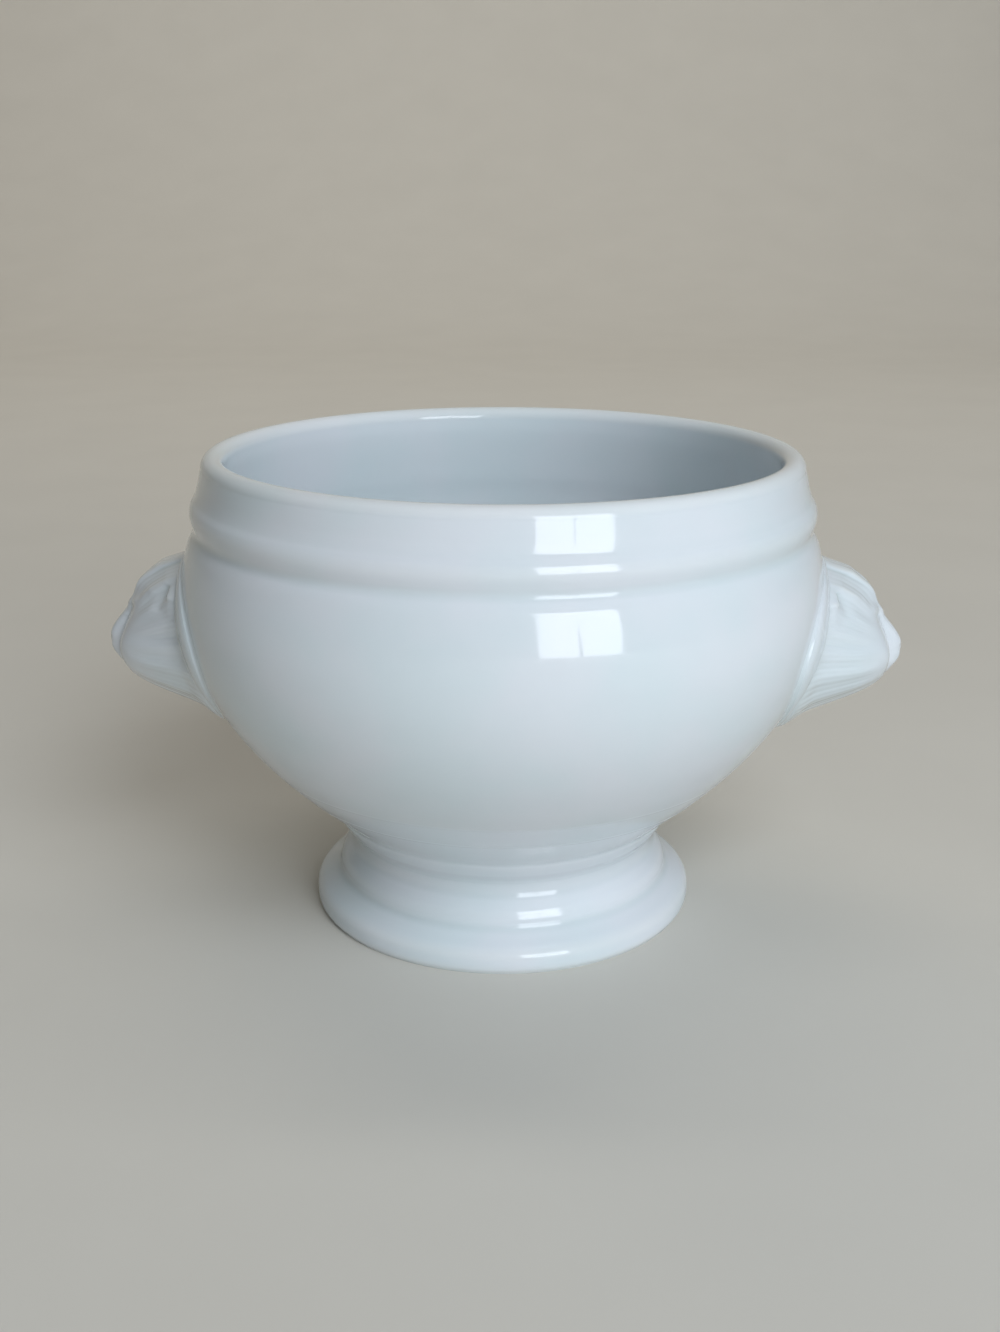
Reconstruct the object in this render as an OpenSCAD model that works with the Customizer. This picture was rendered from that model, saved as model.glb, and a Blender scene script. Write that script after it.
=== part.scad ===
// Lion head soup bowl in white glazed porcelain, on a hollow pedestal foot.
// Origin at the middle of the standing ring, +Z up, the lion heads along X. Millimetres.

/* [Bowl] */
// Diameter of the rim, over the rolled lip
rim_d = 119.4; // [112:0.2:126]
// Thickness of the rolled lip
lip_t = 4.6; // [3.6:0.1:5.4]
// How far the bead round the neck stands out from the lip
bead_out = 2.7; // [2:0.1:3.4]
// Depth of the groove between bead and shoulder
groove_in = 0.85; // [0.5:0.05:1.3]
// How far the shoulder stands out from the groove
shoulder_out = 1.15; // [0.7:0.05:1.8]
// How far the belly swells beyond the shoulder
belly_out = 2.3; // [1.6:0.1:4]
// Thickness of the bowl's wall
wall = 4.6; // [3.4:0.1:5.6]
// Height from the foot joint up to the widest part of the belly
low_h = 46.1; // [42:0.1:52]
// Height from the widest part up to the shoulder
shoulder_h = 12.9; // [11.6:0.1:16]
// Height of the neck band, from the shoulder to the top of the lip
band_h = 16.1; // [14:0.1:19]

/* [Foot] */
// Height of the foot
foot_h = 21.4; // [17:0.1:26]
// Diameter in the waist of the foot
waist_d = 64.4; // [61:0.2:70]
// How far the neck at the bowl stands out from the waist
neck_out = 3; // [2:0.1:4]
// How far the swelling below the waist stands out
bulge_out = 2.65; // [1.6:0.05:3.4]
// How far the flange that the crock stands on spreads beyond the swelling
flange_out = 5.25; // [3.6:0.05:7]
// Thickness of the foot's wall at the waist
foot_wall = 4.2; // [3:0.1:5]
// Width of the unglazed standing ring
ring_w = 4.4; // [3:0.1:5.4]
// Depth of the bowl's underside above the joint, inside the foot
kick = 0.8; // [0.4:0.1:1.4]

/* [Lion heads] */
// Width of a head across its collar
head_w = 58; // [52:0.5:60]
// Height of a head over its collar
head_h = 36.5; // [32:0.5:38]
// Drop from the widest part of the belly to the middle of a head
head_drop = 10.25; // [9.5:0.05:12]
// How far the nose stands out from the belly behind it
head_reach = 19.3; // [15:0.1:23]
// Depth of the plain collar at a head's sides
collar = 1.6; // [1.2:0.1:2.4]
// Thickness of the fired slip between a head and the belly
slip_t = 0.2; // [0.15:0.01:0.3]

/* [Hidden] */

rim_r = rim_d / 2;
bead_r = rim_r + bead_out;
groove_r = bead_r - groove_in;
shoulder_r = groove_r + shoulder_out;
belly_r = shoulder_r + belly_out;
waist_r = waist_d / 2;
neck_r = waist_r + neck_out;
belly_z = foot_h + low_h;
shoulder_z = belly_z + shoulder_h;
total_h = shoulder_z + band_h;
lip_r = lip_t / 2;
lip_z = total_h - lip_r;
head_z = belly_z - head_drop;

// Smoothness: steps in a span of a curve, in the belly below and above its widest, down the
// inside, round the lip, and facets round the axis
span_steps = 4;
low_steps = 14;
shoulder_steps = 4;
inside_steps = 18;
lip_steps = 10;
round_fn = 180;
// A head's grid: points round it, rings of its front, rings of its back
head_round = 108;
head_rings = 24;
back_rings = 5;

// Neck band, from the shoulder up: [shoulder, bead, rim, height] shares over the groove's radius
band_shares = [
    [1, 0, 0, 0], [0.15, 0, 0, 0.075], [0, 0, 0, 0.14], [0, 0.7, 0, 0.25], [0, 1, 0, 0.37],
    [0, 1, 0.13, 0.48], [0, 1, 0.44, 0.59], [0, 1, 0.67, 0.72], [0, 1, 0.85, 0.87], [0, 1, 1, 1]];
// Foot, from the joint down: [neck, bulge, flange, height] shares over the waist's radius
foot_shares = [
    [1, 0, 0, 1], [1, 0, 0, 0.95], [0.6, 0, 0, 0.86], [0, 0, 0, 0.735], [0, 0.26, 0, 0.63],
    [0, 0.8, 0, 0.5], [0, 1, 0, 0.39], [0, 1, 0.03, 0.34], [0, 1, 0.42, 0.305], [0, 1, 0.83, 0.225],
    [0, 1, 1, 0.1], [0, 1, 0.86, 0]];
// Inside of the foot, from the standing ring up: [ring, bore, height] shares
foot_bore_shares = [[1, 0, 0], [0.8, 0.2, 0.03], [0.4, 0.6, 0.3], [0.1, 0.9, 0.62], [0, 1, 1]];
// Inside below the lip: shares of the way from the lip's inner edge to the wall, outwards and down
throat_shares = [[0.08, 0.2], [0.36, 0.46], [0.76, 0.8]];
// Inside floor: shares of the radius and the height where the wall's curve gives way to it
floor_shares = [[1, 1], [0.76, 0.36], [0.4, 0.06], [0, 0]];
// Where the wall's curve gives way to the floor, as a share of low_h
floor_turn_share = 0.26;

// A point at share t between b and c on the smooth curve through a, b, c and d
function curve_point(a, b, c, d, t) =
    (2 * b + (c - a) * t + (2 * a - 5 * b + 4 * c - d) * t * t + (3 * b - 3 * c + d - a) * t * t * t) / 2;

// A smooth curve through the points of p, with its end slopes set by its last spans
function curve(p, n = span_steps) = let (
        last = len(p) - 1,
        q = concat([2 * p[0] - p[1]], p, [2 * p[last] - p[last - 1]]))
    concat([for (i = [0 : last - 1], k = [0 : n - 1])
        curve_point(q[i], q[i + 1], q[i + 2], q[i + 3], k / n)], [p[last]]);

// The belly's outer radius at height z: one parabola below the widest part and one above it
function belly_at(z) = z < belly_z
    ? belly_r - (belly_r - neck_r) * pow((belly_z - z) / low_h, 2)
    : belly_r - belly_out * pow((z - belly_z) / shoulder_h, 2);

// How fast that radius grows with height
function belly_slope(z) = z < belly_z
    ? 2 * (belly_r - neck_r) * (belly_z - z) / (low_h * low_h)
    : -2 * belly_out * (z - belly_z) / (shoulder_h * shoulder_h);

// A point one wall inside the belly's outer face, square to it
function belly_inside(z) = let (m = belly_slope(z), n = sqrt(1 + m * m))
    [belly_at(z) - wall / n, z + wall * m / n];

function band_points() = [for (s = band_shares) [
    groove_r + s[0] * shoulder_out + s[1] * groove_in - s[2] * bead_out,
    shoulder_z + s[3] * (lip_z - shoulder_z)]];

function foot_points() = [for (s = foot_shares) [
    waist_r + s[0] * neck_out + s[1] * bulge_out + s[2] * flange_out,
    s[3] * foot_h]];

function lip_points() = [for (i = [1 : lip_steps - 1]) let (turn = 180 * i / lip_steps)
    [rim_r - lip_r + lip_r * cos(turn), lip_z + lip_r * sin(turn)]];

function throat_points() = let (top = [rim_r - lip_t, lip_z], low = belly_inside(shoulder_z))
    concat([top], [for (s = throat_shares)
        [top[0] + s[0] * (low[0] - top[0]), top[1] + s[1] * (low[1] - top[1])]], [low]);

foot_bore_r = waist_r - foot_wall;
ring_out_r = foot_points()[len(foot_shares) - 1][0];

module bowl_body() {
    turn_z = foot_h + floor_turn_share * low_h;
    turn = belly_inside(turn_z);
    floor_z = foot_h + kick + wall;
    belly_heights = concat(
        [for (i = [0 : low_steps - 1]) foot_h + i / low_steps * low_h],
        [for (i = [0 : shoulder_steps - 1]) belly_z + i / shoulder_steps * shoulder_h]);
    belly = [for (z = belly_heights) [belly_at(z), z]];
    inside = [for (i = [1 : inside_steps - 1])
        belly_inside(shoulder_z + i / inside_steps * (turn_z - shoulder_z))];
    floor_line = curve([for (s = floor_shares) [s[0] * turn[0], floor_z + s[1] * (turn[1] - floor_z)]]);
    color("#E4EAEC")
        rotate_extrude($fn = round_fn)
            polygon(concat(
                [[0, foot_h + kick], [foot_bore_r, foot_h + kick], [foot_bore_r, foot_h]],
                belly, curve(band_points()), lip_points(), curve(throat_points()), inside, floor_line));
}

module pedestal_foot() {
    bore = curve([for (s = foot_bore_shares)
        [s[0] * (ring_out_r - ring_w) + s[1] * foot_bore_r, s[2] * foot_h]]);
    color("#DDE5E8")
        rotate_extrude($fn = round_fn)
            polygon(concat(curve(foot_points()), bore));
}

// The lion head is a surface over an oval. A point of it has a share r of the way out from the
// middle and a turn; u runs sideways, v up, and a height is a share of head_reach.

// Outline: how square the lower and the upper half are, where 2 is an ellipse and 1 a lozenge, and
// how far its sides are lifted
outline_shares = [1.85, 2, 0.15];
// Where the hair gives way to the collar: how far in at the sides, the power that brings it out to
// the crown, the rise where it starts to come out below and over how much
hair_shares = [0.9, 4, 0.25, 0.9];
// Width that the form falls over at its edge, and how much wider that is at the crown
edge_shares = [0.03, 0.15];
// Face: its height, the spread of its flat middle and the middle's lean to the chin
face_shares = [0.765, 0.18, 0.165];
// How steeply the face falls to the side, the crown and the chin, and how square the crown is
face_fall_shares = [1.5, 1.1, 1.8, 0.18];
// How late the side's fall turns into the crown's and into the chin's
turn_shares = [2.2, 1.5];
// Mane: its height at the sides, its loss at the chin, its fall, and the steeper fall at the crown
mane_shares = [0.172, 0.1, 0.62, 0.6];
// Collar: its loss at the crown and under the chin, where it starts to round off and how far
collar_shares = [0.75, 0.7, 0.945, 0.9];
// How softly the hair meets the collar
collar_soft_share = 0.006;
// Locks of the mane: depth, where they start and are full, the width that they fade out over at
// the edge, how far they sweep and over what waves
lock_shares = [0.012, 0.42, 0.66, 0.2, 0.1, 5];
lock_count = 18;
// Muzzle: tip height, tip place, fall up the nose, fall to the chin and its power, side fall, and
// how round the tip is
muzzle_shares = [1.006, 0.03, 0.8, 1.89, 2.1, 0.16, 0.13];
// Muzzle's half width: at the tip, its growth downwards, its least and its most
muzzle_width_shares = [0.137, -0.045, 0.106, 0.19];
// How softly the mane and face meet, how crisply the muzzle stands out of the face, and how much
// softer it gets down to the chin, from what height and over what drop
meet_shares = [0.07, 0.022, 0.12, 0.12, 0.35];
// Swellings and hollows: [side, up, side spread, up spread, height]
swell_shares = [
    [0.11, 0.52, 0.09, 0.16, 0.02],
    [0.14, 0.3, 0.07, 0.08, -0.024],
    [0.14, 0.29, 0.045, 0.045, 0.014],
    [0.3, 0, 0.12, 0.2, 0.015],
    [0.072, -0.035, 0.027, 0.03, -0.01],
    [0.099, -0.22, 0.076, 0.09, 0.012],
    [0, -0.45, 0.121, 0.09, 0.006],
    [0, 0.67, 0.35, 0.147, 0.082],
    [0, 0.3, 0.3, 0.13, -0.012],
    [0.56, 0.4, 0.1, 0.12, 0.012]];
// Ridges and furrows: [side, up, to side, to up, spread, height]
ridge_shares = [
    [0.05, 0.38, 0.2, 0.45, 0.05, 0.018],
    [0, 0.4, 0, 0.72, 0.03, -0.01],
    [0.038, -0.1, 0.114, -0.07, 0.028, -0.008],
    [0, -0.14, 0, -0.3, 0.024, -0.006],
    [0.015, -0.335, 0.129, -0.37, 0.035, -0.01],
    [0.129, -0.37, 0.212, -0.3, 0.036, -0.01],
    [0.5, 0.74, 0.58, 0.65, 0.045, 0.032],
    [0.58, 0.65, 0.63, 0.5, 0.05, 0.026],
    [0.45, 0.7, 0.505, 0.5, 0.04, -0.024],
    [0.41, 0.8, 0.36, 0.64, 0.05, 0.018]];

function larger(p, q, soft) = (p + q + sqrt((p - q) * (p - q) + soft * soft)) / 2;
function clamped(x) = max(0, min(1, x));
function eased(x) = let (c = clamped(x)) c * c * (3 - 2 * c);
function sum_of(list) = list * [for (i = list) 1];

// Distance, squared, from [u, v] to the line from a to b
function line_distance(u, v, a, b) = let (
        d = b - a,
        t = clamped((([u, v] - a) * d) / (d * d)),
        gap = [u, v] - a - t * d)
    gap * gap;

function belly_x(y, z) = sqrt(pow(belly_at(z), 2) - y * y);
// The back of a head at y and z, one slip joint off the belly
function back_x(y, z) = belly_x(y, z) + slip_t * belly_r / belly_x(y, z);

// How far out the collar's edge lies at a turn, as shares of the half width and half height
function outline_at(turn) = let (
        power = outline_shares[sin(turn) < 0 ? 0 : 1],
        reach = pow(pow(abs(cos(turn)), power) + pow(abs(sin(turn)), power), -1 / power))
    [reach * cos(turn), reach * sin(turn) + outline_shares[2] * pow(cos(turn), 2)];

function muzzle_at(side, v) = let (
        up = larger(v - muzzle_shares[1], 0, muzzle_shares[6]),
        down = larger(muzzle_shares[1] - v, 0, muzzle_shares[6]),
        half = max(muzzle_width_shares[2],
            min(muzzle_width_shares[3], muzzle_width_shares[0] - muzzle_width_shares[1] * v)))
    muzzle_shares[0] - muzzle_shares[2] * up - muzzle_shares[3] * pow(down, muzzle_shares[4])
        - muzzle_shares[5] * pow(side / half, 4);

function details_at(side, v) =
    sum_of([for (s = swell_shares)
        s[4] * exp(-pow((side - s[0]) / s[2], 2) - pow((v - s[1]) / s[3], 2))])
    + sum_of([for (s = ridge_shares)
        s[5] * exp(-line_distance(side, v, [s[0], s[1]], [s[2], s[3]]) / (s[4] * s[4]))]);

function locks_at(r, turn) = let (
        sweep = lock_shares[4] * sin(lock_shares[5] * r * 180 / PI) * cos(turn) * 180 / PI,
        grown = eased((r - lock_shares[1]) / (lock_shares[2] - lock_shares[1]))
            * eased((1 - r) / lock_shares[3]))
    lock_shares[0] * grown * cos(lock_count * (turn + sweep));

// Height of a head at share r out from its middle, at a turn: the mane, the face and the muzzle
// stand on the belly, and the collar is a band that follows it
function head_height(r, turn) = let (
        edge = outline_at(turn),
        u = r * edge[0],
        v = r * edge[1],
        rise = sin(turn),
        up = max(rise, 0),
        steep = pow(abs(rise), turn_shares[rise > 0 ? 0 : 1]),
        crown = pow(up, 2),
        under = pow(max(-rise, 0), 2),
        level = belly_at(head_z),
        base = (belly_x(edge[0] * head_w / 2, head_z + edge[1] * head_h / 2) - level) / head_reach,
        hair = hair_shares[0] + (1 - hair_shares[0])
            * min(pow(up, hair_shares[1]) + eased((hair_shares[2] - rise) / hair_shares[3]), 1),
        s = min(r / hair, 1),
        flat = face_shares[1] - face_shares[2] * rise,
        out = clamped((s - flat) / (1 - flat)),
        fall = face_fall_shares[0] + steep * (face_fall_shares[rise > 0 ? 1 : 2] - face_fall_shares[0]),
        round_power = 2 + (rise > 0 ? steep * face_fall_shares[3] : 0),
        face = base + (face_shares[0] - base) * pow(1 - pow(out, round_power), fall),
        top = mane_shares[0] - mane_shares[1] * under * under,
        mane = base + (top - base) * pow(1 - s * s, mane_shares[2] + mane_shares[3] * crown),
        soft = meet_shares[1] + meet_shares[2] * eased((meet_shares[3] - v) / meet_shares[4]),
        whole = larger(larger(mane, face, meet_shares[0]), muzzle_at(abs(u), v), soft)
            + details_at(abs(u), v) + locks_at(s, turn),
        form = base + (whole - base) * eased((1 - s) / (edge_shares[0] + edge_shares[1] * crown)),
        proud = collar * (1 - collar_shares[0] * crown - collar_shares[1] * under),
        rounded = collar_shares[3] * clamped((r - collar_shares[2]) / (1 - collar_shares[2])),
        band = (back_x(u * head_w / 2, head_z + v * head_h / 2)
            + proud * sqrt(1 - rounded * rounded) - level) / head_reach)
    larger(form, band, collar_soft_share);

function head_point(r, turn) = let (edge = outline_at(turn))
    [belly_at(head_z) + head_reach * head_height(r, turn),
        r * edge[0] * head_w / 2, head_z + r * edge[1] * head_h / 2];

// The same place on the back
function back_point(r, turn) = let (
        edge = outline_at(turn),
        y = r * edge[0] * head_w / 2,
        z = head_z + r * edge[1] * head_h / 2)
    [back_x(y, z), y, z];

// One pressed head, looking along +X: a fan at each middle, and a band of triangles a ring
module lion_head() {
    n = head_round;
    turns = [for (j = [0 : n - 1]) 360 * j / n];
    front_shares = [for (i = [1 : head_rings]) sin(90 * i / head_rings)];
    back_shares = [for (i = [back_rings : -1 : 1]) i / back_rings];
    rings = concat(
        [for (r = front_shares) [for (t = turns) head_point(r, t)]],
        [for (r = back_shares) [for (t = turns) back_point(r, t)]]);
    last = len(rings) - 1;
    points = concat([head_point(0, 0)], [for (ring = rings) each ring], [back_point(0, 0)]);
    function at(i, j) = 1 + i * n + j % n;
    faces = concat(
        [for (j = [0 : n - 1]) [0, at(0, j + 1), at(0, j)]],
        [for (i = [0 : last - 1], j = [0 : n - 1]) [at(i, j), at(i, j + 1), at(i + 1, j)]],
        [for (i = [0 : last - 1], j = [0 : n - 1]) [at(i, j + 1), at(i + 1, j + 1), at(i + 1, j)]],
        [for (j = [0 : n - 1]) [1 + len(rings) * n, at(last, j), at(last, j + 1)]]);
    polyhedron(points, faces);
}

module lion_head_left() {
    color("#E9EEF0")
        rotate([0, 0, 180])
            lion_head();
}

module lion_head_right() {
    color("#E9EEF0")
        lion_head();
}

bowl_body();
pedestal_foot();
lion_head_left();
lion_head_right();
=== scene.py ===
import math

import bpy
import numpy as np
from mathutils import Matrix, Vector


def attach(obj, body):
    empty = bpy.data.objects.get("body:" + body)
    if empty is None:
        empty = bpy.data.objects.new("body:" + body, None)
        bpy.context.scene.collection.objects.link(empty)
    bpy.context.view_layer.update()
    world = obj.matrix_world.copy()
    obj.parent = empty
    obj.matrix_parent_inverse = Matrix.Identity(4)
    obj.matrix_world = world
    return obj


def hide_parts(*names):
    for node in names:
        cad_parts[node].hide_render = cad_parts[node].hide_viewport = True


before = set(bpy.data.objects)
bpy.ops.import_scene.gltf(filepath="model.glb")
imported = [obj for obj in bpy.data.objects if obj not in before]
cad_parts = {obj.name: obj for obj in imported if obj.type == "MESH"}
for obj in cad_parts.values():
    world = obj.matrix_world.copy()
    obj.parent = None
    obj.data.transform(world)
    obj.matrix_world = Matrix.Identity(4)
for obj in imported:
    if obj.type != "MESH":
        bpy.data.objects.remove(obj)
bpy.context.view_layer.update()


# The bowl: jiggered hard porcelain, one turned piece from the underside in the foot to the rolled
# lip, with a tapered neck band, a bead, a groove and a shoulder over a deep rounded belly. It is
# luted to the foot with slip and fired under a clear glaze that pools in the groove.
MM = 0.001
RIM_R = 59.7  # outer radius of the lip, in millimetres like every size here
LIP_T = 4.6  # thickness of the rolled lip
BEAD_OUT = 2.7  # how far the bead under the neck band stands outside the lip
GROOVE_IN = 0.85  # depth of the groove under the bead
SHOULDER_OUT = 1.15  # from the groove out to the shoulder
BELLY_OUT = 2.3  # from the shoulder out to the widest part
WALL = 4.6  # thickness square to the belly's face
FOOT_H = 21.4  # from the standing ring to the joint with the bowl
LOW_H = 46.1  # from the joint to the widest part
SHOULDER_H = 12.9  # from the widest part to the shoulder
BAND_H = 16.1  # from the shoulder to the top of the lip
NECK_R = 35.2  # radius at the joint
BORE_R = 28.0  # radius of the hollow in the foot
KICK = 0.8  # how far the underside rises inside the foot
GROOVE_R = RIM_R + BEAD_OUT - GROOVE_IN
BELLY_R = GROOVE_R + SHOULDER_OUT + BELLY_OUT
BELLY_Z = FOOT_H + LOW_H
SHOULDER_Z = BELLY_Z + SHOULDER_H
LIP_R = LIP_T / 2
LIP_Z = SHOULDER_Z + BAND_H - LIP_R


def smooth_line(points, steps):
    """A Catmull-Rom curve: between points b and c of a, b, c, d the place is half of
    2b + (c - a)t + (2a - 5b + 4c - d)t^2 + (3b - 3c + d - a)t^3, with t from 0 to 1."""
    p = np.asarray(points, float)
    q = np.vstack([2 * p[0] - p[1], p, 2 * p[-1] - p[-2]])
    t = (np.arange(steps) / steps)[None, :, None]
    a, b, c, d = q[:-3, None], q[1:-2, None], q[2:-1, None], q[3:, None]
    line = (2 * b + (c - a) * t + (2 * a - 5 * b + 4 * c - d) * t**2
            + (3 * b - 3 * c + d - a) * t**3) / 2
    return np.vstack([line.reshape(-1, 2), p[-1]])


def belly_radius(z):
    """The belly's outer radius: a parabola below the widest part and a flatter one above it."""
    low = BELLY_R - (BELLY_R - NECK_R) * ((BELLY_Z - z) / LOW_H) ** 2
    high = BELLY_R - BELLY_OUT * ((z - BELLY_Z) / SHOULDER_H) ** 2
    return np.where(z < BELLY_Z, low, high)


def belly_inside(z):
    """The point one wall inside the belly's face at z, along the normal of that face."""
    slope = np.where(z < BELLY_Z, 2 * (BELLY_R - NECK_R) * (BELLY_Z - z) / LOW_H**2,
                     -2 * BELLY_OUT * (z - BELLY_Z) / SHOULDER_H**2)
    length = np.sqrt(1 + slope**2)
    return np.stack([belly_radius(z) - WALL / length, z + WALL * slope / length], -1)


def larger(p, q, soft):
    """The larger of two, rounded where they cross: half of p + q + sqrt((p - q)^2 + soft^2)."""
    return (p + q + np.sqrt((p - q) ** 2 + soft**2)) / 2


def lens(line, reach):
    """How hollow a profile is that runs with the clay on its left: how far it turns right over
    about reach, by a Gaussian along it, from -1, a sharp outer edge, to 1, a sharp inner corner.
    At the joint of bowl and foot it is 0.5, a bead of glaze that fades over 0.8 mm."""
    full_turn, bead_hollow, bead_fade = 0.9, 0.5, 0.8
    step = np.diff(line, axis=0)
    length = np.maximum(np.hypot(step[:, 0], step[:, 1]), 1e-9)
    angle = np.unwrap(np.arctan2(step[:, 1], step[:, 0]))
    turn = np.diff(angle)
    s = np.concatenate([[0], np.cumsum(length)])
    near = np.exp(-((s[:, None] - s[None, 1:-1]) / reach) ** 2)
    hollow = np.clip(-(near @ turn) / full_turn, -1, 1)
    joint = np.exp(-((line[:, 1] - FOOT_H) / bead_fade) ** 2) * (line[:, 0] > NECK_R - 1)
    return hollow + joint * (bead_hollow - hollow)


def put_mesh(name, places, faces):
    """Makes a smooth object of the places, in millimetres, and the faces, a list of index arrays."""
    mesh = bpy.data.meshes.new(name)
    corners = np.concatenate([f.ravel() for f in faces]).astype(np.int32)
    counts = np.concatenate([np.full(len(f), f.shape[1]) for f in faces])
    starts = np.concatenate([[0], np.cumsum(counts)[:-1]]).astype(np.int32)
    mesh.vertices.add(len(places))
    mesh.vertices.foreach_set("co", (np.asarray(places) * MM).astype(np.float32).ravel())
    mesh.loops.add(len(corners))
    mesh.loops.foreach_set("vertex_index", corners)
    mesh.polygons.add(len(counts))
    mesh.polygons.foreach_set("loop_start", starts)
    mesh.polygons.foreach_set("use_smooth", np.full(len(counts), True))
    mesh.update(calc_edges=True)
    mesh.validate()
    piece = bpy.data.objects.new(name, mesh)
    bpy.context.collection.objects.link(piece)
    return piece


def grid_faces(rows, columns, rows_close, columns_close):
    """The squares of a grid: each is here, the next column, the next row and column, the next
    row. After the last row or column comes the first where the grid closes."""
    i = np.arange(rows if rows_close else rows - 1)[:, None]
    j = np.arange(columns if columns_close else columns - 1)[None, :]
    here = i * columns
    above = (i + 1) % rows * columns
    ahead = (j + 1) % columns
    return np.stack([here + j, here + ahead, above + ahead, above + j], -1).reshape(-1, 4)


def fan_faces(middle, start, around):
    """The triangles from a middle point to the ring of points from start on."""
    ring = np.arange(around)
    return np.stack([np.full(around, middle), start + ring, start + (ring + 1) % around], -1)


def set_glaze_depth(piece, levels):
    """Stores the glaze's level at each vertex, from -1, thin on an edge, to 1, pooled."""
    attribute = piece.data.attributes.new("glaze_depth", "FLOAT", "POINT")
    attribute.data.foreach_set("value", levels.astype(np.float32))


def turned(name, line, hollow, around, sway):
    """A turned surface: the line's point [radius, height] at each of the turns about Z. Radius
    gains sway(turn, height), the slight warp of firing, which fades inside a radius of 20 mm. A
    line whose ends lie on the axis closes in two poles, and any other line closes on itself."""
    full_sway_r = 20
    line = np.asarray(line)
    poles = line[0, 0] < 1e-6
    body = line[1:-1] if poles else line
    turn = np.arange(around) * 2 * math.pi / around
    radius = body[:, :1] + sway(turn[None, :], body[:, 1:]) * np.minimum(body[:, :1] / full_sway_r, 1)
    places = np.stack([radius * np.cos(turn), radius * np.sin(turn),
                       np.repeat(body[:, 1:], around, 1)], -1).reshape(-1, 3)
    rows = len(body)
    faces = [grid_faces(rows, around, not poles, True)]
    levels = np.repeat((hollow[1:-1] if poles else hollow), around)
    if poles:
        low_pole, high_pole = rows * around, rows * around + 1
        places = np.vstack([places, [0, 0, line[0, 1]], [0, 0, line[-1, 1]]])
        faces.append(fan_faces(low_pole, 0, around)[:, ::-1])
        faces.append(fan_faces(high_pole, (rows - 1) * around, around))
        levels = np.concatenate([levels, [0, 0]])
    piece = put_mesh(name, places, faces)
    set_glaze_depth(piece, levels)
    return piece


def warp(turn, height):
    """Firing leaves the round a little oval, by up to 0.15 mm: two and three cosines to a turn,
    which grow up the belly. The jigger leaves soft waves of up to 0.02 mm."""
    grown = np.clip((height - FOOT_H) / LOW_H, 0, 1)
    oval = 0.10 * np.cos(2 * turn + 0.7) + 0.05 * np.cos(3 * turn + 2.1)
    waves = 0.012 * np.cos(5 * turn + 0.35 * height) + 0.008 * np.sin(0.9 * height + turn)
    return grown * oval + waves


def colour(code):
    """An sRGB hex colour as linear values: under 0.04045 a plain share, above it a power."""
    c = np.array([int(code[i:i + 2], 16) for i in (1, 3, 5)]) / 255
    return (*np.where(c <= 0.04045, c / 12.92, ((c + 0.055) / 1.055) ** 2.4), 1.0)


def add(tree, kind, values=None, links=None, **settings):
    """Adds a node: its settings, the values of its sockets and the links into them."""
    node = tree.nodes.new(kind)
    for key, value in settings.items():
        setattr(node, key, value)
    for key, value in (values or {}).items():
        node.inputs[key].default_value = value
    for key, socket in (links or {}).items():
        tree.links.new(socket, node.inputs[key])
    return node


# Hard porcelain under a clear feldspar glaze, fired once: a cool white body seen through glass.
# The glaze is thicker, bluer and a little greyer where it pools, thin and warmer on outer edges.
glaze = bpy.data.materials.new("clear_glazed_porcelain")
glaze.use_nodes = True
tree = glaze.node_tree
shader = tree.nodes["Principled BSDF"]
place = add(tree, "ShaderNodeTexCoord")
# Clouds 22 mm wide, where the body fired a shade bluer or more lilac
cloud = add(tree, "ShaderNodeTexNoise", {"Scale": 1 / (22 * MM), "Detail": 2.0, "Roughness": 0.5},
            {"Vector": place.outputs["Object"]})
cloud_colour = add(tree, "ShaderNodeValToRGB", links={"Fac": cloud.outputs["Fac"]})
cloud_colour.color_ramp.elements[0].position = 0.35
cloud_colour.color_ramp.elements[0].color = colour("#D3DEE3")
cloud_colour.color_ramp.elements[1].position = 0.65
cloud_colour.color_ramp.elements[1].color = colour("#D9DFE5")
glaze_depth = add(tree, "ShaderNodeAttribute", attribute_name="glaze_depth")
pooled = add(tree, "ShaderNodeMapRange", {"From Min": 0.1, "From Max": 0.9, "To Max": 0.4},
             {"Value": glaze_depth.outputs["Fac"]})
thin = add(tree, "ShaderNodeMapRange", {"From Min": -0.25, "From Max": -1.0, "To Max": 0.35},
           {"Value": glaze_depth.outputs["Fac"]})
deep = add(tree, "ShaderNodeMixRGB", {"Color2": colour("#B9C9CC")},
           {"Fac": pooled.outputs["Result"], "Color1": cloud_colour.outputs["Color"]})
worn = add(tree, "ShaderNodeMixRGB", {"Color2": colour("#E3E4E0")},
           {"Fac": thin.outputs["Result"], "Color1": deep.outputs["Color"]})
# Orange peel of the molten glaze: waves 5 mm long and 0.01 mm high at most, which ripple a reflection
peel = add(tree, "ShaderNodeTexNoise", {"Scale": 1 / (5 * MM), "Detail": 1.0, "Roughness": 0.4},
           {"Vector": place.outputs["Object"]})
skin = add(tree, "ShaderNodeBump", {"Strength": 1.0, "Distance": 0.01 * MM},
           {"Height": peel.outputs["Fac"]})
# Fine dulling from use, in patches 12 mm wide
use = add(tree, "ShaderNodeTexNoise", {"Scale": 1 / (12 * MM), "Detail": 4.0, "Roughness": 0.6},
          {"Vector": place.outputs["Object"]})
gloss = add(tree, "ShaderNodeMapRange", {"From Min": 0.35, "From Max": 0.7, "To Min": 0.055, "To Max": 0.10},
            {"Value": use.outputs["Fac"]})
shader.inputs["IOR"].default_value = 1.52
tree.links.new(worn.outputs["Color"], shader.inputs["Base Color"])
tree.links.new(gloss.outputs["Result"], shader.inputs["Roughness"])
tree.links.new(skin.outputs["Normal"], shader.inputs["Normal"])

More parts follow.
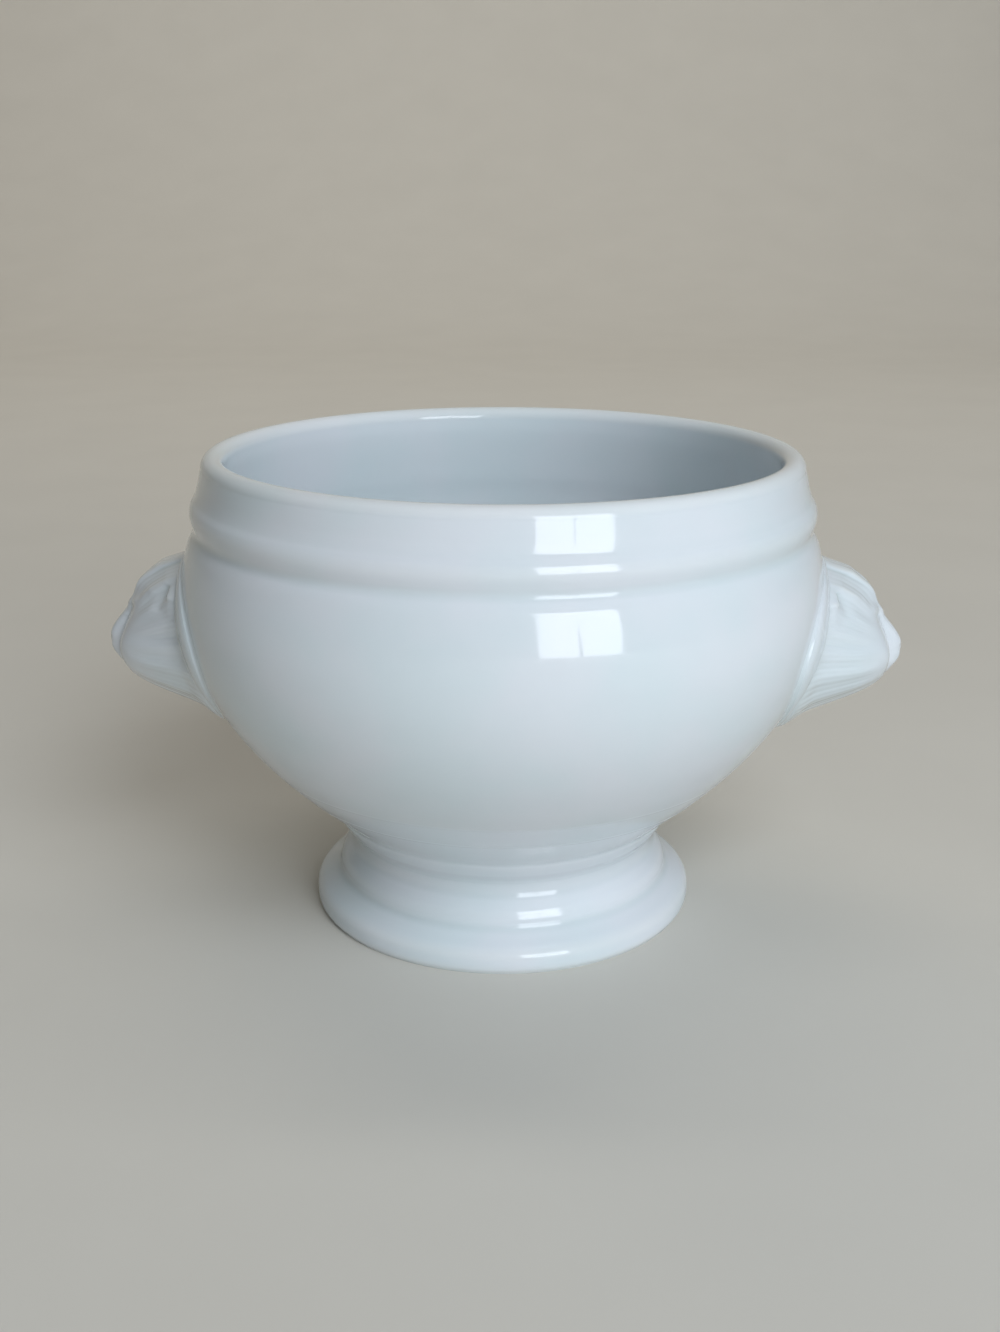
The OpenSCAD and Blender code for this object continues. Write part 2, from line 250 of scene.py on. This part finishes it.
# The underside: flat inside the hollow foot, with a small bevel at its edge
UNDER_BEVEL = 0.4
under_z = FOOT_H + KICK
under = np.array([[0, under_z], [BORE_R / 2, under_z], [BORE_R - UNDER_BEVEL, under_z],
                  [BORE_R, under_z - UNDER_BEVEL], [BORE_R, FOOT_H]])
# Turning marks round the low belly: height, how proud, width
mark_high, mark_low = (35.0, 0.04, 0.25), (29.0, 0.07, 0.22)
# Steps up the belly, closer at the joint, where glaze fills the crease, and over the two marks
MARK_REACH = 0.8  # how far over and under a mark they are closer
belly_z = np.unique(np.concatenate([
    FOOT_H + np.array([0, 0.03, 0.1, 0.25, 0.45]), np.linspace(FOOT_H, BELLY_Z, 64)[1:],
    np.linspace(mark_low[0] - MARK_REACH, mark_low[0] + MARK_REACH, 23),
    np.linspace(mark_high[0] - MARK_REACH, mark_high[0] + MARK_REACH, 17),
    np.linspace(BELLY_Z, SHOULDER_Z, 24)[:-1]]))
marks = sum(proud * np.exp(-((belly_z - z) / width) ** 2) for z, proud, width in (mark_low, mark_high))
GLAZE_FILL = 0.9  # how softly glaze rounds the crease at the joint
FILL_LOW, FILL_HIGH = 16.0, 40.0  # heights between which it does
glazed_r = larger(belly_radius(belly_z), NECK_R, GLAZE_FILL * (belly_z < FILL_HIGH))
belly = np.stack([glazed_r + marks, belly_z], -1)
# Shares of the neck band: [shoulder, out to the bead, in to the lip, height] from the shoulder up
band_shares = np.array([
    [1, 0, 0, 0], [0.15, 0, 0, 0.075], [0, 0, 0, 0.14], [0, 0.7, 0, 0.25], [0, 1, 0, 0.37],
    [0, 1, 0.13, 0.48], [0, 1, 0.44, 0.59], [0, 1, 0.67, 0.72], [0, 1, 0.85, 0.87], [0, 1, 1, 1]])
band = smooth_line(np.stack([
    GROOVE_R + band_shares[:, 0] * SHOULDER_OUT + band_shares[:, 1] * GROOVE_IN
    - band_shares[:, 2] * BEAD_OUT, SHOULDER_Z + band_shares[:, 3] * (LIP_Z - SHOULDER_Z)], -1), 10)
# Glaze softens the shoulder and the groove: each radius there is a Gaussian mean of its neighbours
SOFT_H = 1.1  # height over which neighbours count
SOFT_REACH = 4.5  # how far up and down the softening goes
SOFT_UP = 1.0  # how far its middle lies above the shoulder
outside = np.vstack([belly, band])
z = outside[:, 1]
weight = np.exp(-((z[:, None] - z) / SOFT_H) ** 2) * np.gradient(z)
near_groove = np.exp(-((z - SHOULDER_Z - SOFT_UP) / SOFT_REACH) ** 4)
outside[:, 0] += near_groove * (weight @ outside[:, 0] / weight.sum(1) - outside[:, 0])
# The lip is a half round, the throat widens under it, and the inside runs one wall from the face
lip_turn = np.linspace(0, math.pi, 33)[1:-1]
lip = np.stack([RIM_R - LIP_R + LIP_R * np.cos(lip_turn), LIP_Z + LIP_R * np.sin(lip_turn)], -1)
lip_inner = np.array([RIM_R - LIP_T, LIP_Z])
wall_top = belly_inside(np.array(SHOULDER_Z))
throat_shares = np.array([[0, 0], [0.08, 0.2], [0.36, 0.46], [0.76, 0.8], [1, 1]])
throat = smooth_line(lip_inner + throat_shares * (wall_top - lip_inner), 8)
FLOOR_SHARE = 0.26  # share of the low belly's height under which the wall turns into the floor
turn_z = FOOT_H + FLOOR_SHARE * LOW_H
turn_in = belly_inside(np.array(turn_z))
inside = belly_inside(np.linspace(SHOULDER_Z, turn_z, 70)[1:-1])
# Below turn_z the wall runs smoothly into the round floor
floor_z = FOOT_H + KICK + WALL
floor_shares = np.array([[1, 1], [0.76, 0.36], [0.4, 0.06], [0, 0]])
bowl_floor = smooth_line([0, floor_z] + floor_shares * (turn_in - [0, floor_z]), 14)
TURNS = 240  # points round each turned piece
bowl_line = np.vstack([under, outside, lip, throat[:-1], inside, bowl_floor])
bowl = turned("bowl", bowl_line, lens(bowl_line, 0.9), TURNS, warp)
bowl.data.materials.append(glaze)
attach(bowl, "root")
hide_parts("bowl_body")


# The foot: a hollow pedestal turned in the same porcelain, with a neck under the bowl, a waist, a
# soft swelling and a spreading flange. It is luted on before the glaze firing. Its standing ring
# is wiped bare, so that it doesn't stick to the kiln shelf.
WAIST_R = 32.2  # radius at the waist
NECK_OUT = 3.0  # from the waist out to the joint
BULGE_OUT = 2.65  # from the waist out to the swelling
FLANGE_OUT = 5.25  # from the swelling out to the flange
RING_W = 4.4  # width of the standing ring
# Shares of the foot's outer face: [neck, swelling, flange, height] from the joint down
foot_shares = np.array([
    [1, 0, 0, 1], [1, 0, 0, 0.95], [0.6, 0, 0, 0.86], [0.1, 0, 0, 0.77], [0, 0.02, 0, 0.69],
    [0, 0.13, 0, 0.62], [0, 0.45, 0, 0.56], [0, 0.78, 0, 0.5], [0, 0.97, 0, 0.44],
    [0, 1, 0.02, 0.39], [0, 1, 0.1, 0.345], [0, 1, 0.38, 0.3], [0, 1, 0.76, 0.245],
    [0, 1, 0.95, 0.19], [0, 1, 1, 0.12], [0, 1, 0.98, 0.05], [0, 1, 0.86, 0]])
outer = smooth_line(np.stack([WAIST_R + foot_shares[:, 0] * NECK_OUT + foot_shares[:, 1] * BULGE_OUT
                              + foot_shares[:, 2] * FLANGE_OUT, foot_shares[:, 3] * FOOT_H], -1), 12)
# Glaze fills the crease at the joint from this side too, with a point just under the top
outer[:, 0] = larger(outer[:, 0], belly_radius(outer[:, 1]), GLAZE_FILL * (outer[:, 1] > FILL_LOW))
outer = np.vstack([outer[0], outer[0] - [0, 0.03], outer[1:]])
ring_out = outer[-1, 0]
# Shares of the bore, from the standing ring up: [ring, bore, height]
bore_shares = np.array([[1, 0, 0], [0.8, 0.2, 0.03], [0.4, 0.6, 0.3], [0.1, 0.9, 0.62], [0, 1, 1]])
inner = smooth_line(np.stack([bore_shares[:, 0] * (ring_out - RING_W) + bore_shares[:, 1] * BORE_R,
                              bore_shares[:, 2] * FOOT_H], -1), 10)
sole = np.linspace(outer[-1], inner[0], 7)[1:-1]
foot_line = np.vstack([outer, sole, inner])[::-1]
foot = turned("foot", foot_line, lens(foot_line, 0.8), TURNS, warp)
foot.data.materials.append(glaze)

# Bare fired porcelain, sponged and rubbed flat: matt, warmer than the glaze, with grey scuffs.
bare = bpy.data.materials.new("bare_fired_porcelain")
bare.use_nodes = True
tree = bare.node_tree
shader = tree.nodes["Principled BSDF"]
place = add(tree, "ShaderNodeTexCoord")
# Grit of the kiln shelf and the table, 0.5 mm wide
grit = add(tree, "ShaderNodeTexNoise", {"Scale": 1 / (0.5 * MM), "Detail": 3.0},
           {"Vector": place.outputs["Object"]})
# Scuffs 6 mm wide
scuff = add(tree, "ShaderNodeTexNoise", {"Scale": 1 / (6 * MM), "Detail": 5.0, "Roughness": 0.7},
            {"Vector": place.outputs["Object"]})
scuff_colour = add(tree, "ShaderNodeValToRGB", links={"Fac": scuff.outputs["Fac"]})
scuff_colour.color_ramp.elements[0].position = 0.38
scuff_colour.color_ramp.elements[0].color = colour("#BDB9AE")
scuff_colour.color_ramp.elements[1].position = 0.6
scuff_colour.color_ramp.elements[1].color = colour("#E2DFD6")
rough = add(tree, "ShaderNodeBump", {"Strength": 0.6, "Distance": 0.08 * MM}, {"Height": grit.outputs["Fac"]})
shader.inputs["Roughness"].default_value = 0.75
tree.links.new(scuff_colour.outputs["Color"], shader.inputs["Base Color"])
tree.links.new(rough.outputs["Normal"], shader.inputs["Normal"])
foot.data.materials.append(bare)
# The faces of the sole are the bare ones: their centres lie at the height of the table
centres = np.empty(len(foot.data.polygons) * 3, np.float32)
foot.data.polygons.foreach_get("center", centres)
foot.data.polygons.foreach_set("material_index", (centres[2::3] < 0.02 * MM).astype(np.int32))
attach(foot, "root")
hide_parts("pedestal_foot")


# The lion heads: porcelain pressed in one plaster mould, trimmed to an oval collar and luted to
# the belly at each side as handles. The hair is cut into the mould and the glaze softens it: deep
# locks, fine strands, a forelock, brow, eyes, nose, mouth, chin and a small ear in the mane.
HEAD_W = 29.0  # half width over the collar
HEAD_H = 18.25  # half height over the collar
HEAD_DROP = 10.25  # how far its middle lies below the belly's widest part
HEAD_REACH = 19.3  # unit of the relief: the muzzle reaches 0.96 of it out from the belly
COLLAR = 1.6  # how proud the collar stands of its bed of slip at the sides
SLIP = 0.2  # thickness of that bed
SINK = 0.25  # how far the back lies under the belly's face
FILLET = 0.8  # greatest width of the slip drawn round the collar
HEAD_Z = BELLY_Z - HEAD_DROP
LEVEL_R = float(belly_radius(np.array(HEAD_Z)))  # the belly's level, from which the relief counts
# Swellings and hollows, in shares of the half width, half height and reach: place, spreads, height
swelling_shares = np.array([
    [0.11, 0.52, 0.09, 0.16, 0.02], [0.14, 0.3, 0.07, 0.08, -0.024], [0.14, 0.29, 0.045, 0.045, 0.014],
    [0.3, 0, 0.12, 0.2, 0.015], [0.072, -0.035, 0.027, 0.03, -0.01], [0.099, -0.22, 0.076, 0.09, 0.012],
    [0, -0.45, 0.121, 0.09, 0.006], [0, 0.67, 0.35, 0.147, 0.082], [0, 0.3, 0.3, 0.13, -0.012],
    [0.56, 0.4, 0.1, 0.12, 0.012]])
# Ridges and furrows: from one place to another, spread, height
furrow_shares = np.array([
    [0.05, 0.38, 0.2, 0.45, 0.05, 0.018], [0, 0.4, 0, 0.72, 0.03, -0.01],
    [0.038, -0.1, 0.114, -0.07, 0.028, -0.008], [0, -0.14, 0, -0.3, 0.024, -0.006],
    [0.015, -0.335, 0.129, -0.37, 0.035, -0.01], [0.129, -0.37, 0.212, -0.3, 0.036, -0.01],
    [0.5, 0.74, 0.58, 0.65, 0.045, 0.032], [0.58, 0.65, 0.63, 0.5, 0.05, 0.026],
    [0.45, 0.7, 0.505, 0.5, 0.04, -0.024], [0.41, 0.8, 0.36, 0.64, 0.05, 0.018],
    [0.1, 0.325, 0.19, 0.31, 0.016, 0.008], [0.11, 0.25, 0.18, 0.255, 0.016, 0.006]])


def eased(x):
    """0 below 0, 1 above 1, and 3x^2 - 2x^3 between."""
    x = np.clip(x, 0, 1)
    return x * x * (3 - 2 * x)


def belly_x(y, z):
    """How far out the belly's face lies at y and z: sqrt(radius^2 - y^2)."""
    return np.sqrt(belly_radius(z) ** 2 - y**2)


def outline_at(turn):
    """The collar's edge as shares of the half width and height: |x|^p + |y|^p = 1, where p is 2
    above the middle and 1.85 below it, with the sides lifted by 0.15 cos^2."""
    power = np.where(np.sin(turn) < 0, 1.85, 2.0)
    reach = (np.abs(np.cos(turn)) ** power + np.abs(np.sin(turn)) ** power) ** (-1 / power)
    return reach * np.cos(turn), reach * np.sin(turn) + 0.15 * np.cos(turn) ** 2


def muzzle_at(side, up):
    """The muzzle: the tip, less an even fall up the nose, a fall by the power 2.1 down to the
    chin and one by the fourth power of the way to its side. It is narrower at the chin."""
    tip, tip_up, tip_round = 1.005, 0.03, 0.13
    nose_fall, chin_fall, side_fall = 0.8, 1.89, 0.16
    rise = larger(up - tip_up, 0, tip_round)
    drop = larger(tip_up - up, 0, tip_round)
    half = np.clip(0.137 + 0.045 * up, 0.106, 0.19)
    return tip - nose_fall * rise - chin_fall * drop**2.1 - side_fall * (side / half) ** 4


def details_at(side, up):
    """The sum of Gaussian swellings, each with its place and spreads, and of Gaussian ridges or
    furrows about lines, each by the distance to its line."""
    x, y = side[..., None], up[..., None]
    a, b, sa, sb, h = swelling_shares.T
    total = (h * np.exp(-((x - a) / sa) ** 2 - ((y - b) / sb) ** 2)).sum(-1)
    ax, ay, bx, by, s, h = furrow_shares.T
    t = np.clip(((x - ax) * (bx - ax) + (y - ay) * (by - ay)) / ((bx - ax) ** 2 + (by - ay) ** 2), 0, 1)
    gap = (x - ax - t * (bx - ax)) ** 2 + (y - ay - t * (by - ay)) ** 2
    return total + (h * np.exp(-gap / s**2)).sum(-1)


def hair_at(s, turn, side, up):
    """The mane: 18 soft locks, and on them fine strands, a cosine 72 to a turn whose phase swings
    with s and is bent by two slower waves, sharpened to narrow grooves. Both fade out to the face,
    to the collar and round the ear."""
    locks, lock_depth, strands, strand_depth = 18, 0.012, 72, 0.0045
    ear_side, ear_up = 0.54, 0.62
    sweep = 0.1 * np.sin(5 * s) * np.cos(turn)
    lock_fade = eased((s - 0.42) / 0.24) * eased((1 - s) / 0.2)
    lock_wave = lock_depth * lock_fade * np.cos(locks * (turn + sweep))
    bend = 0.5 * np.sin(7 * turn + 3 * s) + 0.35 * np.sin(13 * turn - 5 * s)
    wave = np.cos(strands * (turn + 1.2 * sweep) + bend)
    grooves = -((1 - wave) / 2) ** 1.7
    strand_fade = eased((s - 0.5 - 0.05 * np.cos(11 * turn)) / 0.22) * eased((0.99 - s) / 0.06)
    clear = 1 - 0.8 * np.exp(-((side - ear_side) / 0.1) ** 2 - ((up - ear_up) / 0.13) ** 2)
    return clear * (lock_wave + strand_depth * strand_fade * grooves)


def head_height(r, turn):
    """Height of the head over the belly's level at its middle, as a share of its reach, at share r
    of the way out to the collar's edge: the larger of mane, face and muzzle, each with its own
    fall from the middle to the hair's edge, and of the collar, a band that follows the belly."""
    edge_x, edge_y = outline_at(turn)
    side, up, rise = np.abs(r * edge_x), r * edge_y, np.sin(turn)
    steep = np.abs(rise) ** np.where(rise > 0, 2.2, 1.5)
    crown, below = np.maximum(rise, 0) ** 2, np.maximum(-rise, 0) ** 2
    base = (belly_x(edge_x * HEAD_W, HEAD_Z + edge_y * HEAD_H) - LEVEL_R) / HEAD_REACH
    # Share s of the way out to the hair's edge, which lies inside the collar's at the sides
    s = np.minimum(r / (0.9 + 0.1 * np.minimum(crown**2 + eased((0.25 - rise) / 0.9), 1)), 1)
    # The face: flat out to a share that is wider below, then a fall, fullest at the crown
    flat = 0.18 - 0.165 * rise
    out = np.clip((s - flat) / (1 - flat), 0, 1)
    fall = 1.5 + steep * (np.where(rise > 0, 1.1, 1.8) - 1.5)
    face = base + (0.765 - base) * (1 - out ** (2 + 0.18 * np.where(rise > 0, steep, 0))) ** fall
    # The mane: a low dome, lower at the chin, with a gentler slope at the crown
    top = 0.172 - 0.1 * below**2
    mane = base + (top - base) * (1 - s * s) ** (0.62 + 0.6 * crown)
    # The muzzle meets the face in a crease above and runs softly into it below
    soft = 0.022 + 0.12 * eased((0.12 - up) / 0.35)
    form = larger(larger(mane, face, 0.07), muzzle_at(side, up), soft)
    form = form + details_at(side, up) + hair_at(s, turn, side, up)
    form = base + (form - base) * eased((1 - s) / (0.03 + 0.15 * crown))
    # The collar's band, thinner at the crown and the chin, with its edge rounded over
    proud = COLLAR * (1 - 0.75 * crown - 0.7 * below)
    rounded = 0.9 * np.clip((r - 0.92) / 0.08, 0, 1)
    band_x = belly_x(side * HEAD_W, HEAD_Z + up * HEAD_H) + SLIP + proud * np.sqrt(1 - rounded**2)
    return larger(form, (band_x - LEVEL_R) / HEAD_REACH, 0.006)


def head_rings(rings, around):
    """Rings of points: the front from its middle to the collar's edge, a hollow quarter round of
    slip from that edge out to the belly, and the back, just under the belly's face."""
    turn = np.arange(around) * 2 * math.pi / around
    r = np.sin(math.pi / 2 * np.arange(1, rings + 1) / rings)[:, None]
    edge_x, edge_y = outline_at(turn)
    front = np.stack([LEVEL_R + HEAD_REACH * head_height(r, turn[None]),
                      r * edge_x * HEAD_W, HEAD_Z + r * edge_y * HEAD_H], -1)
    rim = front[-1]
    ahead = np.roll(rim, -1, 0) - np.roll(rim, 1, 0)
    outward = np.stack([ahead[:, 2], -ahead[:, 1]], -1)
    outward /= np.linalg.norm(outward, axis=1, keepdims=True)
    width = np.minimum(FILLET, 0.85 * (rim[:, 0] - belly_x(rim[:, 1], rim[:, 2])))
    skirt = []
    for bow in np.linspace(0, math.pi / 2, 9):
        y, z = (rim[:, 1:] + outward * (width * (1 - np.cos(bow)))[:, None]).T
        skirt.append(np.stack([belly_x(y, z) + width * (1 - np.sin(bow)) - 0.01, y, z], -1))
    last = skirt[-1]
    back = []
    for share in (0.98, 0.8, 0.6, 0.4, 0.2):
        y, z = last[:, 1] * share, HEAD_Z + (last[:, 2] - HEAD_Z) * share
        back.append(np.stack([belly_x(y, z) - SINK, y, z], -1))
    return front, np.array(skirt), np.array(back)


RINGS, AROUND = 190, 432  # rings of a head's front, and points on each
front, skirt, back = head_rings(RINGS, AROUND)
rings = np.concatenate([front, skirt, back])
rows = len(rings)
nose_x = LEVEL_R + HEAD_REACH * float(head_height(np.array([[0.0]]), np.array([[0.0]]))[0, 0])
places = np.vstack([rings.reshape(-1, 3), [nose_x, 0, HEAD_Z], [LEVEL_R - SINK, 0, HEAD_Z]])
walls = grid_faces(rows, AROUND, False, True)[:, [0, 3, 2, 1]]
nose_fan = fan_faces(rows * AROUND, 0, AROUND)
back_fan = fan_faces(rows * AROUND + 1, (rows - 1) * AROUND, AROUND)[:, ::-1]
# Glaze is deep where a point lies under the mean of its neighbours on the ring, less so on the
# small rings round the middle, and in the fillet
FULL_DEPTH = 0.45  # how far under that mean the glaze is deepest
FILLET_LEVEL = 0.3  # the glaze's level in the fillet
relief = front[..., 0]
ring_mean = sum(np.roll(relief, shift, 1) for shift in (2, -2, 5, -5)) / 4
level = np.clip((ring_mean - relief) / FULL_DEPTH, -1, 1)
level[: RINGS // 4] *= np.linspace(0, 1, RINGS // 4)[:, None]
level = np.concatenate([level.ravel(), np.full(len(skirt) * AROUND, FILLET_LEVEL),
                        np.zeros(len(back) * AROUND + 2)])
# The left head is the right one turned half round
for hand, sign in (("right", 1), ("left", -1)):
    head = put_mesh(f"lion_head_{hand}_pressed", places * [sign, sign, 1], [walls, nose_fan, back_fan])
    set_glaze_depth(head, level)
    head.data.materials.append(glaze)
    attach(head, "root")
    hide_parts(f"lion_head_{hand}")


# The stage: a sweep of matt pale paper, flat under the crock and curved up behind it, two soft
# boxes side by side at the front right with a cool one above them, a warm one behind on the left,
# one for the paper behind the crock and an even pale surround.
FRONT_Y, BEND_Y, BEND_R, TOP_Z, HALF_ACROSS = -2.2, 1.1, 0.9, 3.0, 3.0  # in metres
bend = np.linspace(0, math.pi / 2, 24)
depth_m = np.concatenate([np.linspace(FRONT_Y, BEND_Y, 24), BEND_Y + BEND_R * np.sin(bend[1:]),
                          [BEND_Y + BEND_R] * 2])
height_m = np.concatenate([np.zeros(24), BEND_R - BEND_R * np.cos(bend[1:]), [2 * BEND_R, TOP_Z]])
across_m = np.linspace(-HALF_ACROSS, HALF_ACROSS, 13)
sweep = np.stack(np.broadcast_arrays(across_m[None, :], depth_m[:, None], height_m[:, None]), -1)
paper = put_mesh("paper_sweep", sweep.reshape(-1, 3) / MM,
                 [grid_faces(len(depth_m), len(across_m), False, False)])
# Matt pale paper with a faint mottle 60 mm wide
card = bpy.data.materials.new("matt_pale_paper")
card.use_nodes = True
tree = card.node_tree
shader = tree.nodes["Principled BSDF"]
place = add(tree, "ShaderNodeTexCoord")
mottle = add(tree, "ShaderNodeTexNoise", {"Scale": 1 / (60 * MM), "Detail": 3.0},
             {"Vector": place.outputs["Object"]})
tone = add(tree, "ShaderNodeValToRGB", links={"Fac": mottle.outputs["Fac"]})
tone.color_ramp.elements[0].color = colour("#CFCDC6")
tone.color_ramp.elements[1].color = colour("#D5D3CC")
shader.inputs["Roughness"].default_value = 0.9
tree.links.new(tone.outputs["Color"], shader.inputs["Base Color"])
paper.data.materials.append(card)


def soft_box(name, turn, lift, distance, width, height, watts, tint, mirrored=True):
    """A flat lamp, turn degrees to the right of -Y and lift degrees up, facing the belly, with
    its distance, width and height in metres. Where it isn't mirrored it makes no highlight."""
    lamp = bpy.data.lights.new(name, "AREA")
    lamp.shape, lamp.size, lamp.size_y, lamp.energy = "RECTANGLE", width, height, watts
    lamp.color = colour(tint)[:3]
    box = bpy.data.objects.new(name, lamp)
    box.visible_glossy = mirrored
    bpy.context.collection.objects.link(box)
    a, e = math.radians(turn), math.radians(lift)
    aim = Vector((0, 0, 0.065))
    away = Vector((math.sin(a) * math.cos(e), -math.cos(a) * math.cos(e), math.sin(e)))
    box.location = aim + distance * away
    box.rotation_euler = (aim - box.location).to_track_quat("-Z", "Y").to_euler()
    return box


soft_box("window_box_a", 19.2, 12.0, 1.3, 0.30, 0.76, 4.0, "#F0F7FF")
soft_box("window_box_b", 33.4, 12.0, 1.3, 0.31, 0.76, 4.1, "#F0F7FF")
soft_box("sky_box", 30.0, 42.0, 1.3, 0.7, 0.5, 7.8, "#F2F8FE", mirrored=False)
soft_box("warm_fill", -150.0, 40.0, 2.6, 1.6, 1.6, 5.0, "#FFE6C4", mirrored=False)
# The last one hangs behind the crock, 1.5 m up, and faces the paper
back_light = soft_box("backdrop_box", 180.0, 0.0, 0.5, 1.6, 0.7, 11.5, "#FFFBF4", mirrored=False)
back_light.location = (0, 0.5, 1.5)
back_light.rotation_euler = Vector((0, 1.4, -1.1)).to_track_quat("-Z", "Y").to_euler()

world = bpy.data.worlds.new("even_surround")
bpy.context.scene.world = world
world.use_nodes = True
world.node_tree.nodes["Background"].inputs["Color"].default_value = colour("#E7E6E4")
world.node_tree.nodes["Background"].inputs["Strength"].default_value = 0.17

# The camera, fitted to the photograph's rim, belly, foot and heads: 0.30 m from the crock's axis,
# 146 mm up, pitched 17.7 degrees down and 1.9 degrees round to the right.
CAMERA_OUT, CAMERA_UP = 0.2998, 0.14615
FOCAL_PX, PHOTO_HEIGHT_PX = 1501, 1332
round_turn, pitch, roll = math.radians(1.926), 0.309, 0.002
camera_lens = bpy.data.cameras.new("camera")
camera = bpy.data.objects.new("camera", camera_lens)
bpy.context.collection.objects.link(camera)
bpy.context.scene.camera = camera
camera.location = (CAMERA_OUT * math.sin(round_turn), -CAMERA_OUT * math.cos(round_turn), CAMERA_UP)
camera.rotation_euler = (Matrix.Rotation(round_turn, 4, "Z") @ Matrix.Rotation(math.pi / 2 - pitch, 4, "X")
                         @ Matrix.Rotation(roll, 4, "Z")).to_euler()
camera_lens.sensor_fit = "VERTICAL"
camera_lens.sensor_height = 36.0
camera_lens.lens = FOCAL_PX / PHOTO_HEIGHT_PX * camera_lens.sensor_height
camera_lens.shift_x = -0.0022
camera_lens.clip_start = 0.01
bpy.context.scene.view_settings.view_transform = "Standard"
